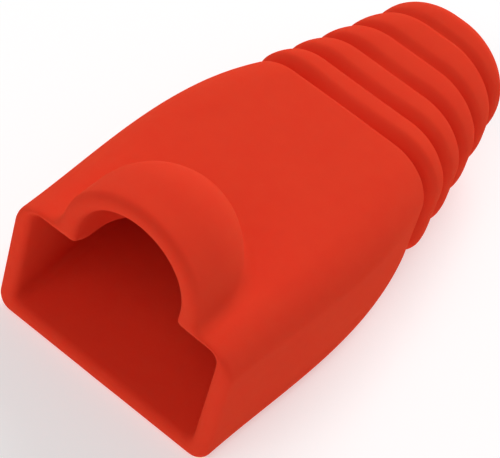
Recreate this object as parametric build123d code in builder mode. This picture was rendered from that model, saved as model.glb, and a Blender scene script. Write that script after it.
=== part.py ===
"""Strain relief boot for a modular data plug, moulded in one soft piece.

It stands on its flat base. +Y runs from the mouth, where the plug goes in, to the
ribbed tail, where the cable leaves. The origin is under the middle of its length.
Stations are distances from the mouth along the boot. All sizes are in millimetres.
"""
import os

from build123d import *

# Mouth, which slips over the back of the plug
mouth_width = 14.0
body_height = 8.34
mouth_top_radius = 1.95
mouth_base_radius = 1.0
base_trim = 0.02
rim_radius = 0.4

# Body, which swells a little and then narrows to the neck
belly_station = 10.0
belly_width = 14.52
shoulder_station = 13.5
shoulder_width = 14.06
neck_station = 17.64
neck_width = 12.2
neck_drop = 0.14
neck_top_radius = 2.65
neck_base_radius = 1.8
swell_share = 0.5
corner_limit_share = 0.48

# Hood over the plug's latch
hood_radius = 4.33
hood_straight = 2.15
hood_axis_rise = 0.38
hood_blend_radius = 0.45

# Ribbed tail, whose last ring is the cable's exit
ring_pitch = 2.13
ring_count = 5
ring_bulge = 0.16
groove_width = 0.95
groove_depth = 0.4
end_ring_length = 1.64
end_ring_radius = 1.15
tail_end_width = 7.28
tail_end_base = 1.36
tail_end_radius = 3.5
tail_dip = 0.48
tail_bow_share = 0.33

# Hollow inside
wall = 1.05
cavity_radius = 0.5
bore_diameter = 5.0
bore_length = 4.2
bore_axis_share = 0.457

neck_height = body_height - neck_drop
last_groove_station = neck_station + ring_pitch * (ring_count - 1)
total_length = last_groove_station + groove_width + end_ring_length
half_length = total_length / 2
bore_radius = bore_diameter / 2
bore_station = total_length - bore_length
bore_axis_height = tail_end_base + (body_height - tail_end_base) * bore_axis_share
hood_axis_height = body_height + hood_axis_rise
hood_axis = Axis((0, 0, hood_axis_height), (0, 1, 0))
hood_bore_radius = hood_radius - wall
dome_start = hood_straight - half_length
body_widths = (
    (0, mouth_width),
    (belly_station * swell_share, mouth_width + (belly_width - mouth_width) * swell_share),
    (belly_station, belly_width),
    (shoulder_station, shoulder_width),
    (neck_station, neck_width),
)


def between(start, end, share):
    """Return the value that lies a share of the way from start to end."""
    return start + (end - start) * share


def body_top(station):
    """Return the height of the body's top at a station."""
    return neck_height if station == neck_station else body_height


def upright_section(station, width, base, top, base_radius, top_radius):
    """Return a section square to the boot's length, its corners no rounder than its sides allow."""
    limit = corner_limit_share * min(width, top - base)
    with BuildSketch(Plane.XZ.offset(half_length - station)) as section:
        with Locations((0, (base + top) / 2)):
            Rectangle(width, top - base)
        fillet(section.vertices().group_by(Axis.Y)[-1], min(top_radius, limit))
        fillet(section.vertices().group_by(Axis.Y)[0], min(base_radius, limit))
    return section.sketch


def body_section(station, width):
    """Return an outer section of the body, whose corners grow rounder towards the neck."""
    share = (station / neck_station) ** 2
    base_radius = between(mouth_base_radius, neck_base_radius, share)
    top_radius = between(mouth_top_radius, neck_top_radius, share)
    return upright_section(station, width, -base_trim, body_top(station), base_radius, top_radius)


def cavity_section(station, width):
    """Return the inner section that lies one wall inside the body."""
    share = (station / neck_station) ** 2
    base_radius = between(cavity_radius, neck_base_radius - wall, share)
    top_radius = between(cavity_radius, neck_top_radius - wall, share)
    top = body_top(station) - wall
    return upright_section(station, width - 2 * wall, wall, top, base_radius, top_radius)


def funnel_end_section():
    """Return the funnel's small end, a square rounded almost to the bore's circle."""
    base = bore_axis_height - bore_radius
    top = bore_axis_height + bore_radius
    return upright_section(bore_station, bore_diameter, base, top, bore_radius, bore_radius)


def tail_section(station, rise):
    """Return an outer section of the tail, whose skin stands a rise above the plain taper."""
    share = (station - neck_station) / (total_length - neck_station)
    width = between(neck_width, tail_end_width, between(share, share**2, tail_bow_share))
    dip = tail_dip * 4 * share * (1 - share)
    top = between(neck_height, body_height, share) - dip
    base = between(-base_trim, tail_end_base, share)
    base_radius = between(neck_base_radius, tail_end_radius, share) + rise
    top_radius = between(neck_top_radius, tail_end_radius, share) + rise
    return upright_section(station, width + 2 * rise, base - rise, top + rise, base_radius, top_radius)


def hood_profile(radius):
    """Return half of the hood in plan: straight from the mouth, then a quarter circle."""
    with BuildSketch(Plane.XY.offset(hood_axis_height)) as profile:
        with BuildLine():
            Polyline(
                (0, dome_start + radius),
                (0, -half_length),
                (radius, -half_length),
                (radius, dome_start),
            )
            CenterArc((0, dome_start), radius, 0, 90)
        make_face()
    return profile.sketch


with BuildPart() as boot:
    # Outer skin of the body
    loft([body_section(station, width) for station, width in body_widths])

    # Grooves of the tail, and behind each of them a ring that swells a little
    for ring in range(ring_count):
        groove_start = neck_station + ring_pitch * ring
        ring_start = groove_start + groove_width
        loft(
            [
                tail_section(groove_start, 0),
                tail_section(groove_start + groove_width / 2, -groove_depth),
                tail_section(ring_start, 0),
            ],
            ruled=True,
        )
        if ring < ring_count - 1:
            ring_end, end_rise = groove_start + ring_pitch, 0
        else:
            ring_end, end_rise = total_length, ring_bulge
        loft([
            tail_section(ring_start, 0),
            tail_section((ring_start + ring_end) / 2, ring_bulge),
            tail_section(ring_end, end_rise),
        ])

    # Soft edge of the last ring
    fillet(boot.faces().sort_by(Axis.Y)[-1].edges(), end_ring_radius)

    # Flat base, which trims the underside
    split(bisect_by=Plane.XY, keep=Keep.TOP)

    # Hood, blended softly into the top of the body
    revolve(hood_profile(hood_radius), axis=hood_axis)
    seam = boot.edges().filter_by_position(Axis.Y, -half_length, dome_start + hood_radius, (False, True))
    seam = seam.filter_by_position(Axis.X, -hood_radius, hood_radius)
    seam = seam.filter_by_position(Axis.Z, body_height - rim_radius, body_height + rim_radius)
    fillet(seam, hood_blend_radius)

    # Plug cavity, the funnel behind it and the bore that grips the cable
    loft([cavity_section(station, width) for station, width in body_widths], mode=Mode.SUBTRACT)
    loft([cavity_section(neck_station, neck_width), funnel_end_section()], mode=Mode.SUBTRACT)
    with BuildSketch(Plane.XZ.offset(half_length - bore_station)):
        with Locations((0, bore_axis_height)):
            Circle(bore_radius)
    extrude(amount=-bore_length, mode=Mode.SUBTRACT)

    # Room for the latch under the hood, open to the mouth and to the cavity
    revolve(hood_profile(hood_bore_radius), axis=hood_axis, mode=Mode.SUBTRACT)
    with BuildSketch(Plane.XY.offset(body_height / 2)):
        add(hood_profile(hood_bore_radius))
        mirror(about=Plane.YZ)
    extrude(amount=hood_axis_height - body_height / 2, mode=Mode.SUBTRACT)

    # Soft rim all round the mouth
    fillet(boot.faces().sort_by(Axis.Y)[0].edges(), rim_radius)

boot.part.label = "boot"
os.makedirs("parts", exist_ok=True)
export_step(boot.part, "parts/boot.step")
print("boot", "valid" if boot.part.is_valid else "not valid", round(boot.part.volume), "cubic mm")
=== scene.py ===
# %% [markdown]
# # Strain relief boot, moulded in soft plastic
#
# The real boot is one moulding: a box-like body that slips over the back of a modular plug,
# a hollow hood over the plug's latch, and a ribbed tail that grips the cable. The frame holds
# its solid at true size. This notebook dresses that solid with one closed surface, whose
# blends, ribs and rims are softer than solid modelling makes them, and gives it its plastic.

# %% Load the frame
from math import cos, pi, radians, sin

import bpy
import numpy as np
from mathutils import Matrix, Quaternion, Vector


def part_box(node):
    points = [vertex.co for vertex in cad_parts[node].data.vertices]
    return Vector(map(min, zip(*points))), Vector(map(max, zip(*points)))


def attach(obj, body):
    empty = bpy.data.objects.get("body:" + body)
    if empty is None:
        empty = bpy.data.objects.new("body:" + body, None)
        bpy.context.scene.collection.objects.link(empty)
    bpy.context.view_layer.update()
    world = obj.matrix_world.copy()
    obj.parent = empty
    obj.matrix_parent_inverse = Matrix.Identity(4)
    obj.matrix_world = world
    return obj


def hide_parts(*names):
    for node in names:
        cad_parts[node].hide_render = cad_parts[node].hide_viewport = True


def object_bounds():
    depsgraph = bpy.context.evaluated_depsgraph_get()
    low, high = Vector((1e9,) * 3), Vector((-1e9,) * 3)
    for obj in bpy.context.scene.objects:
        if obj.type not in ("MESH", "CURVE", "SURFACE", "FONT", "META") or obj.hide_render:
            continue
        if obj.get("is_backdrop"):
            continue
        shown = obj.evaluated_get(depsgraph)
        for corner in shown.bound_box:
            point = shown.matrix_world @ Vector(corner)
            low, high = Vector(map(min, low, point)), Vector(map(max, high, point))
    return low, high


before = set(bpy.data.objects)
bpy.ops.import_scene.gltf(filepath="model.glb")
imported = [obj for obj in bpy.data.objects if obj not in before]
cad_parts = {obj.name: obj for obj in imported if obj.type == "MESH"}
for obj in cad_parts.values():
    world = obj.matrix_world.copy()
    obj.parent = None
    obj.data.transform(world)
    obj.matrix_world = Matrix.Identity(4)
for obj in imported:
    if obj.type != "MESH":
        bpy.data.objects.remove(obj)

MM = 0.001
cad_box = [list(corner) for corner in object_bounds()]
low, high = (np.array(corner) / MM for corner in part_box("boot"))
mouth_y = low[1]
length = high[1] - low[1]
print("the boot is", np.round(high - low, 2), "mm, and its mouth lies at y", round(mouth_y, 3))

# %% [markdown]
# ## One section of the boot
#
# Every section square to the length is a rectangle with rounded corners, and near the mouth
# a round hood stands on it. A section could be drawn as lines and arcs, but then the hood's
# soft foot would need its own fillet surface, which changes along the dome. A distance field
# is simpler: it tells how far a point lies from each shape, and two such distances can be
# melted into one with a soft blend between them. The skin is where the distance is zero, and
# a rim or a rib is the same field at another level. All sizes are in millimetres. Those of
# the body, the tail's taper, the hood and the bore follow the solid's to a hundredth of a
# millimetre, so that the surface lies on it.

# %% Distance to a rounded rectangle, and a soft union
def between(start, end, share):
    """The value that lies a share of the way from start to end."""
    return start + (end - start) * share


def rounded_rectangle(x, z, half_width, base, top, base_radius, top_radius):
    """Distance to a rectangle with rounded corners: the length of what sticks out past the
    corner centres, less the corner radius, or the nearest side's distance inside."""
    middle = (base + top) / 2
    radius = np.where(z < middle, base_radius, top_radius)
    side = np.abs(x) - half_width + radius
    rise = np.abs(z - middle) - (top - base) / 2 + radius
    outside = np.hypot(np.maximum(side, 0), np.maximum(rise, 0))
    return outside + np.minimum(np.maximum(side, rise), 0) - radius


def melt(first, second, blend):
    """The nearer of two distances, lowered by blend/4 where they are equal and by nothing
    where they differ by the blend or more, which fills their corner with a soft fillet."""
    overlap = np.maximum(blend - np.abs(first - second), 0) / blend
    return np.minimum(first, second) - overlap**2 * blend / 4


print("where two skins cross, a blend of 1 mm adds", -melt(0, 0, 1), "mm")

# %% Distance to the hood
hood_radius = 4.325
hood_straight = 2.15
hood_axis_height = 8.72
hood_foot_height = 5.0


def hood_dome(x, z, station, radius):
    """Distance to a hood: all points within a radius of an upright blade that stands in the
    middle plane from the foot height to the hood's axis, and ends where the dome begins."""
    above = np.maximum(z - hood_axis_height, 0) + np.maximum(hood_foot_height - z, 0)
    behind = np.maximum(station - hood_straight, 0)
    return np.sqrt(x**2 + above**2 + behind**2) - radius


print("the hood rises to", round(hood_axis_height + hood_radius, 3), "mm")
print("its dome ends", round(hood_straight + hood_radius, 3), "mm behind the mouth")

# %% [markdown]
# ## How the section changes along the boot
#
# A station is a distance from the mouth along the boot. The body swells a little behind the
# mouth and narrows to the neck, and its corners grow rounder on the way to the tail, which is
# almost round where the cable leaves. The top of the tail dips and its underside rises. A few
# sections joined by straight tapers would show creases on such a soft part, so the widths run
# through their stations on one smooth curve, and the heights are formulas of the station.

# %% Sizes of the body and the tail
body_height = 8.34
body_stations = np.array([0, 5, 10, 13.5, 17.64])
body_half_widths = np.array([7.0, 7.13, 7.26, 7.03, 6.1])
mouth_top_radius = 1.95
mouth_base_radius = 1.0
shoulder_station, neck_station = body_stations[-2:]
neck_half_width = body_half_widths[-1]
neck_drop = 0.14
neck_top_radius = 2.65
neck_base_radius = 1.8
tail_end_half_width = 3.64
tail_end_base = 1.36
tail_corner_radius = 3.5
tail_dip = 0.48
tail_bow_share = 0.33
corner_limit_share = 0.49
body_curve = np.polyfit(body_stations, body_half_widths, len(body_stations) - 1)
tail_length = length - neck_station
print("the body is", round(neck_station, 2), "mm long and the tail", round(tail_length, 2), "mm")


# %% The plain outer section
def skin_section(station):
    """Half width, base, top and corner radii of the plain outer skin at each station. In the
    tail they change with its share, which is 0 all along the body, and the top's dip is the
    arch 4 s (1 - s) of that share s."""
    share = np.clip((station - neck_station) / tail_length, 0, 1)
    narrowing = between(share, share**2, tail_bow_share)
    body_half_width = np.polyval(body_curve, np.minimum(station, neck_station))
    half_width = body_half_width - (neck_half_width - tail_end_half_width) * narrowing

    nape = np.clip((station - shoulder_station) / (neck_station - shoulder_station), 0, 1)
    drop = neck_drop * nape**2 * (1 - share)
    top = body_height - drop - tail_dip * 4 * share * (1 - share)
    base = tail_end_base * share

    roundness = np.minimum(station / neck_station, 1) ** 2
    base_radius = between(mouth_base_radius, neck_base_radius, roundness)
    top_radius = between(mouth_top_radius, neck_top_radius, roundness)
    base_radius = between(base_radius, tail_corner_radius, share)
    top_radius = between(top_radius, tail_corner_radius, share)
    limit = corner_limit_share * np.minimum(2 * half_width, top - base)
    return half_width, base, top, np.minimum(base_radius, limit), np.minimum(top_radius, limit)


for place, station in (("mouth", 0), ("neck", neck_station), ("tail's end", length)):
    half_width, base, top = skin_section(station)[:3]
    print("the", place, "is", round(2 * half_width, 2), "mm wide and", round(top - base, 2), "mm high")

# %% The outer skin
hood_blend = 0.9


def outer_distance(x, z, station):
    """Distance to the outer skin: body or tail, melted into the hood."""
    return melt(
        rounded_rectangle(x, z, *skin_section(station)),
        hood_dome(x, z, station, hood_radius),
        hood_blend,
    )


middle_depth = -outer_distance(0, body_height / 2, 0)
print("the middle of the mouth lies", np.round(middle_depth, 2), "mm inside the skin")

# %% [markdown]
# ## The hollow
#
# Inside are the plug's cavity, a funnel and the cable's bore, with room for the latch under the
# hood. Solidify would give one even wall, but this wall isn't even: it thickens round the
# bore, and it thins to a lip at the top of the mouth, which leads the plug in. So the hollow is
# a second field, whose sizes are the skin's less the wall.

# %% Distance to the hollow
wall = 1.05
cavity_radius = 0.5
latch_room_blend = 0.3
lead_in_length = 1.6
lead_in_rise = 0.75
bore_radius = 2.5
bore_axis_height = 4.55
bore_length = 4.2
bore_station = length - bore_length


def inner_distance(x, z, station):
    """Distance to the hollow: the plug's cavity one wall inside the skin, then a funnel that
    turns into the cable's bore, with the latch's room melted into its top. The cavity's top
    rises towards the mouth by the lead-in's rise times (1 - station / length of lead-in)^2."""
    half_width, base, top, _, _ = skin_section(np.minimum(station, neck_station))
    roundness = np.minimum(station / neck_station, 1) ** 2
    base_radius = between(cavity_radius, neck_base_radius - wall, roundness)
    top_radius = between(cavity_radius, neck_top_radius - wall, roundness)
    lead_in = lead_in_rise * np.maximum(1 - station / lead_in_length, 0) ** 2
    funnel = np.clip((station - neck_station) / (bore_station - neck_station), 0, 1)
    half_width = between(half_width - wall, bore_radius, funnel)
    base = between(wall, bore_axis_height - bore_radius, funnel)
    top = between(top - wall + lead_in, bore_axis_height + bore_radius, funnel)
    base_radius = between(base_radius, bore_radius, funnel)
    top_radius = between(top_radius, bore_radius, funnel)
    return melt(
        rounded_rectangle(x, z, half_width, base, top, base_radius, top_radius),
        hood_dome(x, z, station, hood_radius - wall),
        latch_room_blend,
    )


print("the funnel runs from", round(neck_station, 2), "to", round(bore_station, 2), "mm")

# %% [markdown]
# ## Ribs and grooves as levels of the field
#
# The tail has round-bottomed grooves cut across it, so that it can bend with the cable. They
# leave ribs that stand about flush with the body and swell a little, most at the sides. The
# grooves are deep at the sides and shallower in the middle of the top and of the underside,
# and each is a little shallower and narrower than the one before. Boolean cuts could make
# them, but then each edge would need its own fillet. Here they are one number for each station
# and direction: how far the skin stands out from the plain section.

# %% How far the skin stands out
groove_count = 5
groove_pitch = 2.13
groove_near_flank = 0.6
groove_far_flank = 0.85
groove_bottom_share = 0.12
groove_side_depth = 0.8
groove_middle_depth = 0.5
last_groove_share = 0.42
neck_to_first_groove = 0.56
first_groove = neck_station + neck_to_first_groove
rib_swell = 0.06
rib_side_swell = 0.2


def groove_wave(station):
    """Share of the full depth: (1 - t)^2, where t is the distance from a groove's bottom over
    the length of that flank, and sqrt(t^2 + b^2) stands in for t so that the bottom is round.
    The depth falls evenly from groove to groove, and the width with its square root."""
    groove = np.clip(np.round((station - first_groove) / groove_pitch), 0, groove_count - 1)
    offset = station - first_groove - groove * groove_pitch
    depth_share = between(1, last_groove_share, groove / (groove_count - 1))
    flank = np.where(offset < 0, groove_near_flank, groove_far_flank) * np.sqrt(depth_share)
    nearness = np.maximum(1 - np.hypot(offset / flank, groove_bottom_share), 0)
    return depth_share * (nearness / (1 - groove_bottom_share)) ** 2


def rib_level(station, angle):
    """Swelling of the ribs less the depth of the grooves. Each rib is an arch 1 - (2u - 1)^2,
    for u from 0 to 1 between the bottoms of its grooves, and the last one stays at its crest.
    Swelling and depth grow with cos^2 of the direction from the middle to the sides."""
    side = np.cos(angle)
    rib = np.clip((station - first_groove) / groove_pitch, 0, groove_count - 0.5) % 1
    swell = (rib_swell + rib_side_swell * side**2) * (1 - (2 * rib - 1) ** 2)
    depth = between(groove_middle_depth, groove_side_depth, side**2)
    return swell - depth * groove_wave(station)


groove_stations = first_groove + groove_pitch * np.arange(groove_count)
print("grooves at", np.round(groove_stations, 2), "mm from the mouth")
print("they are", np.round(-rib_level(groove_stations, 0), 2), "mm deep at the sides")

# %% [markdown]
# ## Where the rows and rays go
#
# The surface is a grid. One direction follows rays round the section, and the other follows
# the wall: from the mouth's rim along the skin to the tail's end, round it, and back through
# the bore, the funnel and the cavity to the rim. Evenly spaced rows would be too coarse at a
# groove and wasted on a flat side, so the rows and rays are spread by the length of the
# outline and by how much it bends.

# %% Solve a field along rays
section_centre = 4.4
reach = 12.0
halvings = 40


def find_radius(distance, station, level, angle):
    """The ray length at which the distance reaches the level, found by halving a bracket."""
    near = np.zeros(np.broadcast(station, level, angle).shape)
    far = near + reach
    for _ in range(halvings):
        middle = (near + far) / 2
        height = section_centre + middle * np.sin(angle)
        inside = distance(middle * np.cos(angle), height, station) < level
        near = np.where(inside, middle, near)
        far = np.where(inside, far, middle)
    return (near + far) / 2


print("rays are solved to", reach / 2**halvings, "mm")


# %% Share out an outline
def spread(position, across, along, count, bend_weight):
    """Positions that share out an outline evenly by its length plus its bending, where each
    radian of bend counts as bend_weight millimetres."""
    step = np.hypot(np.diff(across), np.diff(along))
    heading = np.unwrap(np.arctan2(np.diff(across), np.diff(along)))
    bend = np.abs(np.diff(heading, prepend=heading[0]))
    measure = np.concatenate([[0], np.cumsum(step + bend_weight * bend)])
    return np.interp(np.linspace(0, measure[-1], count), measure, position)


ray_count = 336
fine_count = 4001
rim_outer_depth = 0.52

fine_angles = np.linspace(0, 2 * pi, fine_count) - pi / 2
mouth_outline = find_radius(outer_distance, rim_outer_depth, 0, fine_angles)
rays = spread(
    fine_angles,
    mouth_outline * np.cos(fine_angles),
    mouth_outline * np.sin(fine_angles),
    ray_count + 1,
    bend_weight=1.0,
)[:-1]
print(ray_count, "rays, the closest", round(np.degrees(np.diff(rays).min()), 2), "degrees apart")

# %% Choose the rows on the skin and in the hollow
rim_inner_depth = 0.42
end_outer_depth = 1.15
end_inner_depth = 0.25


def choose_rows(distance, start, end, level_of, count):
    """Stations spread along the outline in the middle plane, which passes over the hood."""
    station = np.linspace(start, end, fine_count)
    height = find_radius(distance, station, level_of(station), pi / 2)
    return spread(station, height, station, count, bend_weight=0.5)


def side_level(station):
    """The ribs as they are at the sides, where the grooves are deepest."""
    return rib_level(station, 0)


skin_stations = choose_rows(
    outer_distance, rim_outer_depth, length - end_outer_depth, side_level, count=186
)
hollow_stations = choose_rows(
    inner_distance, rim_inner_depth, length - end_inner_depth, np.zeros_like, count=72
)[::-1]
print(len(skin_stations), "rows on the skin and", len(hollow_stations), "in the hollow")

# %% [markdown]
# ## Soft rims
#
# The mouth's rim and the tail's end have no sharp edge, outside or inside. A Bevel modifier
# has one width all round, but the wall is thin at the lip and under the bore and thick at the
# corners, so a width that suits one place folds over in another. Each round here is a quarter
# of an ellipse instead. Its depth along the boot is the same all round, and its width is a
# share of the wall that it ends.

# %% Rows that round the rims
rim_rows = 7
end_rows = 12
edge_rows = 5


def quarter_round(depth, count):
    """A quarter of an ellipse, from the skin on: depths below the end face, depth (1 - sin t),
    and shares of the inset from the skin, 1 - cos t, for t from 0 to a right angle."""
    turn = np.linspace(0, pi / 2, count)
    return depth * (1 - np.sin(turn)), 1 - np.cos(turn)


rim_out_depths, rim_out_shares = quarter_round(rim_outer_depth, rim_rows)
end_out_depths, end_out_shares = quarter_round(end_outer_depth, end_rows)
end_in_depths, end_in_shares = quarter_round(end_inner_depth, edge_rows)
rim_in_depths, rim_in_shares = quarter_round(rim_inner_depth, rim_rows)

# A round leaves out its first row, because the skin or the hollow already ends with that row.
outer_stations = np.concatenate([
    rim_out_depths[:0:-1], skin_stations, length - end_out_depths[1:]
])
inner_stations = np.concatenate([
    length - end_in_depths[:0:-1], hollow_stations, rim_in_depths[1:]
])
print(len(outer_stations), "rows outside and", len(inner_stations), "inside")


# %% How thick the wall is
def wall_at(station):
    """Thickness of the wall on each ray: how deep the hollow's outline lies below the skin."""
    hollow = find_radius(inner_distance, station, 0, rays)
    x, z = hollow * np.cos(rays), section_centre + hollow * np.sin(rays)
    return rib_level(station, rays) - outer_distance(x, z, station)


rim_wall = wall_at(0)
end_wall = wall_at(length)
groove_wall = wall_at(groove_stations[:, None])
print("the wall at the mouth is", np.round([rim_wall.min(), rim_wall.max()], 2), "mm")
print("the wall at the tail's end is", np.round([end_wall.min(), end_wall.max()], 2), "mm")
print("at the grooves' bottoms it is down to", np.round(groove_wall.min(axis=1), 2), "mm")

# %% How far each row lies inside the skin
rim_outer_share = 0.5
rim_inner_share = 0.37
end_outer_share = 0.78
end_inner_share = 0.18

outer_insets = np.concatenate([
    np.outer(rim_out_shares[:0:-1], rim_outer_share * rim_wall),
    np.zeros((len(skin_stations), ray_count)),
    np.outer(end_out_shares[1:], end_outer_share * end_wall),
])
inner_insets = np.concatenate([
    np.outer(end_in_shares[:0:-1], end_inner_share * end_wall),
    np.zeros((len(hollow_stations), ray_count)),
    np.outer(rim_in_shares[1:], rim_inner_share * rim_wall),
])
print("the mouth's outer round is up to", round(outer_insets[0].max(), 2), "mm wide")

# %% [markdown]
# ## The surface
#
# All rows are solved on all rays at once. The end face and the flat of the mouth's rim join
# the skin to the hollow by straight steps along the rays. The base is cut flat where a rib
# would swell below the surface that the boot stands on.

# %% Solve the grid
face_rows = 4
nearly_level = 1e-9

outer_levels = rib_level(outer_stations[:, None], rays) - outer_insets
outer = find_radius(outer_distance, outer_stations[:, None], outer_levels, rays)
# A downward ray ends at the base, whose height is 0.
outer = np.minimum(outer, section_centre / np.maximum(-np.sin(rays), nearly_level))
inner = find_radius(inner_distance, inner_stations[:, None], inner_insets, rays)
print("the tail's end face is at least", round((outer[-1] - inner[0]).min(), 3), "mm wide")
print("the flat of the rim is at least", round((outer[0] - inner[-1]).min(), 3), "mm wide")

steps = np.arange(1, face_rows)[:, None] / face_rows
end_face = between(outer[-1], inner[0], steps)
rim_flat = between(inner[-1], outer[0], steps)
end_stations = np.full(face_rows - 1, length)
rim_stations = np.zeros(face_rows - 1)

# %% Turn the rays into points
radius_grid = np.concatenate([outer, end_face, inner, rim_flat])
station_grid = np.concatenate([outer_stations, end_stations, inner_stations, rim_stations])
points = np.stack(
    [
        radius_grid * np.cos(rays),
        np.broadcast_to(mouth_y + station_grid[:, None], radius_grid.shape),
        section_centre + radius_grid * np.sin(rays),
    ],
    axis=-1,
)
print(len(radius_grid), "rows x", ray_count, "rays")
print("from", np.round(points.min((0, 1)), 2), "to", np.round(points.max((0, 1)), 2), "mm")


# %% Put the grid into a mesh
def loop_mesh(name, grid):
    """A closed mesh of quads from a grid of points that wraps round in both directions. Each
    quad runs along the wall first and then round the section, so that it faces outwards."""
    rows, columns = grid.shape[:2]
    corner = np.arange(rows * columns).reshape(rows, columns)
    next_row = np.roll(corner, -1, axis=0)
    quads = np.stack(
        [corner, next_row, np.roll(next_row, -1, axis=1), np.roll(corner, -1, axis=1)], axis=-1
    ).reshape(-1, 4)
    mesh = bpy.data.meshes.new(name)
    mesh.from_pydata(grid.reshape(-1, 3), [], quads)
    mesh.shade_smooth()
    mesh.update()
    piece = bpy.data.objects.new(name, mesh)
    bpy.context.scene.collection.objects.link(piece)
    return piece


def enclosed_volume(piece):
    """Volume in cubic millimetres: a sixth of the sum of a . (b x c) over all triangles. It is
    negative if the faces point inwards."""
    piece.data.calc_loop_triangles()
    corners = np.empty(3 * len(piece.data.loop_triangles), np.int32)
    piece.data.loop_triangles.foreach_get("vertices", corners)
    co = np.empty(3 * len(piece.data.vertices), np.float32)
    piece.data.vertices.foreach_get("co", co)
    a, b, c = co.reshape(-1, 3).astype(float)[corners.reshape(-1, 3)].transpose(1, 0, 2) / MM
    return np.sum(a * np.cross(b, c)) / 6


boot = loop_mesh("boot_moulding", points * MM)
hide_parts("boot")
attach(boot, "root")
print(len(boot.data.polygons), "quads enclose", round(enclosed_volume(boot), 1), "cubic mm")

# %% [markdown]
# ## Soft PVC, as moulded
#
# Such boots are moulded in flexible PVC. The mould's cavity is spark-eroded, which leaves a
# fine even grain and a matt face. The pigment is a warm red that drifts a little where the
# melt flowed, and some red light passes into the plastic and out again beside it, which
# softens the shadows in the grooves. Gloss is usual on plastic, but large lamps make it a pale
# veil over a matt red, so it is left out. Real grain is about a twentieth of a millimetre, as
# fine as a pixel of the render, so it is drawn three times as coarse.

# %% Turn hex colours to linear light
def linear(hex_colour):
    """An sRGB hex colour as linear red, green, blue and full alpha: c / 12.92 in the darkest
    part, and ((c + 0.055) / 1.055)^2.4 above it."""
    channels = np.array([int(hex_colour[i : i + 2], 16) for i in (1, 3, 5)]) / 255
    low_part = channels / 12.92
    high_part = ((channels + 0.055) / 1.055) ** 2.4
    return (*np.where(channels <= 0.04045, low_part, high_part), 1.0)


pigment_dark = linear("#EC402A")
pigment_light = linear("#EE452C")
print("the pigment is", np.round(pigment_dark, 3), "to", np.round(pigment_light, 3))


# %% Add a node with its settings and links
def add_node(tree, kind, settings=None, **links):
    """Add a node, set its properties or input values by name, and link sockets to its inputs.
    Underscores in a link's name stand for spaces."""
    node = tree.nodes.new(kind)
    for name, value in (settings or {}).items():
        if name in node.inputs:
            node.inputs[name].default_value = value
        else:
            setattr(node, name, value)
    for name, socket in links.items():
        tree.links.new(socket, node.inputs[name.replace("_", " ")])
    return node


# %% Make the plastic
# The pigment drifts in broad flow marks and in small blotches.
grain_mm = 0.15
grain_height_mm = 0.02
melt_flow_mm = 5.0
blotch_mm = 0.9


def soft_pvc():
    """Flexible PVC with a spark-eroded grain, a matt face that lets in a little red light, and
    a faint drift of its pigment."""
    material = bpy.data.materials.new("soft_pvc_moulded_red")
    material.use_nodes = True
    tree = material.node_tree
    shader = tree.nodes["Principled BSDF"]
    place = add_node(tree, "ShaderNodeTexCoord").outputs["Object"]

    flow = add_node(
        tree,
        "ShaderNodeTexNoise",
        {"Scale": 1 / (melt_flow_mm * MM), "Detail": 3.0, "Roughness": 0.5},
        Vector=place,
    )
    blotch = add_node(
        tree,
        "ShaderNodeTexNoise",
        {"Scale": 1 / (blotch_mm * MM), "Detail": 2.0, "Roughness": 0.5},
        Vector=place,
    )
    tone = add_node(
        tree,
        "ShaderNodeMix",
        {"data_type": "FLOAT", "Factor": 0.4},
        A=flow.outputs["Fac"],
        B=blotch.outputs["Fac"],
    )
    colour = add_node(tree, "ShaderNodeValToRGB", Fac=tone.outputs["Result"])
    ramp = colour.color_ramp.elements
    ramp[0].position, ramp[0].color = 0.3, pigment_dark
    ramp[1].position, ramp[1].color = 0.7, pigment_light
    tree.links.new(colour.outputs["Color"], shader.inputs["Base Color"])

    grain = add_node(
        tree,
        "ShaderNodeTexNoise",
        {"Scale": 1 / (grain_mm * MM), "Detail": 2.0, "Roughness": 0.6},
        Vector=place,
    )
    roughness = add_node(
        tree,
        "ShaderNodeMapRange",
        {"To Min": 0.58, "To Max": 0.7},
        Value=grain.outputs["Fac"],
    )
    tree.links.new(roughness.outputs["Result"], shader.inputs["Roughness"])
    bump = add_node(
        tree,
        "ShaderNodeBump",
        {"Strength": 0.25, "Distance": grain_height_mm * MM},
        Height=grain.outputs["Fac"],
    )
    tree.links.new(bump.outputs["Normal"], shader.inputs["Normal"])
    shader.inputs["IOR"].default_value = 1.53
    shader.inputs["Specular IOR Level"].default_value = 0.0
    shader.inputs["Subsurface Weight"].default_value = 0.4
    shader.inputs["Subsurface Radius"].default_value = (0.5, 0.05, 0.03)
    shader.inputs["Subsurface Scale"].default_value = 1.0 * MM
    return material


boot.data.materials.append(soft_pvc())
print("plastic made of", len(boot.data.materials[0].node_tree.nodes), "nodes")

# %% [markdown]
# ## Floor, light and camera
#
# The photograph is a cut-out on white, lit softly from above and behind, with the side and the
# mouth in even, weaker light. A large soft lamp above and behind the boot gives the first, and
# a weaker one above and in front of it, the floor and an even sky give the rest. The floor
# glows faintly, as a lit table does, so that its shadows and the red light that the boot
# throws on it stay pale. The camera is a long lens, tilted on its axis, at the angle and
# distance that the boot's outline in the photograph gives.

# %% Floor
floor_half_width = 2.0


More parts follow.
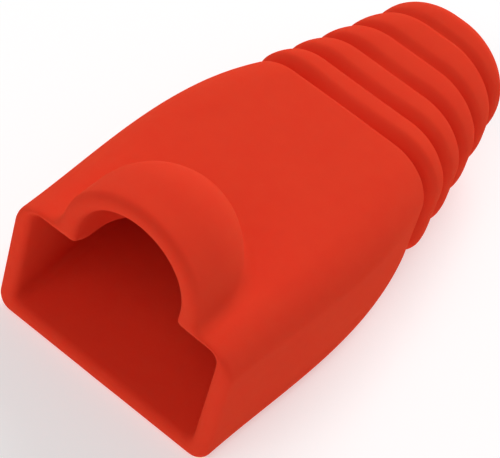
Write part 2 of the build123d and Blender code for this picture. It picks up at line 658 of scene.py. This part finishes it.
def plain_floor():
    """A pale square far larger than the view, in metres."""
    half = floor_half_width
    corners = [(-half, -half, 0), (half, -half, 0), (half, half, 0), (-half, half, 0)]
    mesh = bpy.data.meshes.new("floor")
    mesh.from_pydata(corners, [], [(0, 1, 2, 3)])
    floor = bpy.data.objects.new("floor", mesh)
    bpy.context.scene.collection.objects.link(floor)
    paint = bpy.data.materials.new("matt_white_paper")
    paint.use_nodes = True
    shader = paint.node_tree.nodes["Principled BSDF"]
    shader.inputs["Base Color"].default_value = linear("#D8D8D8")
    shader.inputs["Roughness"].default_value = 1.0
    shader.inputs["Specular IOR Level"].default_value = 0.0
    shader.inputs["Emission Color"].default_value = linear("#FFFFFF")
    shader.inputs["Emission Strength"].default_value = 0.44
    mesh.materials.append(paint)
    floor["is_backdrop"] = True


plain_floor()
print("the floor is", 2 * floor_half_width, "m square")

# %% Lamps and sky
lamp_distance = 0.5
lamp_size = 0.35


def soft_lamp(direction, power):
    """A square lamp that faces the boot from a direction, with its power in watts."""
    lamp = bpy.data.lights.new("softbox", "AREA")
    lamp.size = lamp_size
    lamp.energy = power
    holder = bpy.data.objects.new("softbox", lamp)
    toward = Vector(direction).normalized()
    holder.location = toward * lamp_distance
    holder.rotation_euler = toward.to_track_quat("Z", "Y").to_euler()
    bpy.context.scene.collection.objects.link(holder)


def plain_sky(brightness):
    """An even white sky."""
    world = bpy.data.worlds.new("sky")
    world.use_nodes = True
    background = world.node_tree.nodes["Background"]
    background.inputs["Color"].default_value = linear("#FFFFFF")
    background.inputs["Strength"].default_value = brightness
    bpy.context.scene.world = world


soft_lamp(direction=(-0.13, 0.7, 0.7), power=1.68)
soft_lamp(direction=(0, -0.66, 0.75), power=0.62)
plain_sky(brightness=0.24)
bpy.context.scene.view_settings.view_transform = "Standard"
print(len(bpy.data.lights), "lamps, each", lamp_size, "m square and", lamp_distance, "m away")

# %% Camera
image_width = 500
focal_pixels = 2568.0
sensor_width = 36.0
camera_azimuth = 26.205
camera_elevation = 47.131
camera_roll = 17.406
camera_distance = 133.84
camera_aim = (-0.148, -2.627, 2.873)


def photo_camera():
    """Stand back from the aim point along the azimuth and elevation, then roll about the view.
    The lens is the focal length in pixels times the sensor's width over the image's."""
    azimuth, elevation = radians(camera_azimuth), radians(camera_elevation)
    back = Vector(
        (sin(azimuth) * cos(elevation), -cos(azimuth) * cos(elevation), sin(elevation))
    )
    lens = bpy.data.cameras.new("camera")
    lens.sensor_width = sensor_width
    lens.lens = focal_pixels * sensor_width / image_width
    lens.clip_start, lens.clip_end = 0.01, 10.0
    camera = bpy.data.objects.new("camera", lens)
    camera.location = (Vector(camera_aim) + back * camera_distance) * MM
    level = (-back).to_track_quat("-Z", "Y")
    camera.rotation_mode = "QUATERNION"
    camera.rotation_quaternion = Quaternion(back, radians(camera_roll)) @ level
    bpy.context.scene.collection.objects.link(camera)
    bpy.context.scene.camera = camera
    return camera


camera = photo_camera()
print("camera at", [round(value / MM, 1) for value in camera.location], "mm")
print("with a lens of", round(camera.data.lens), "mm")

# %% Record the sizes and finish
visual_box = [list(corner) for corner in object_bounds()]
growth = (np.array(visual_box) - np.array(cad_box)) / MM
print("the visual box less the solid's is", np.round(growth, 4).tolist(), "mm")
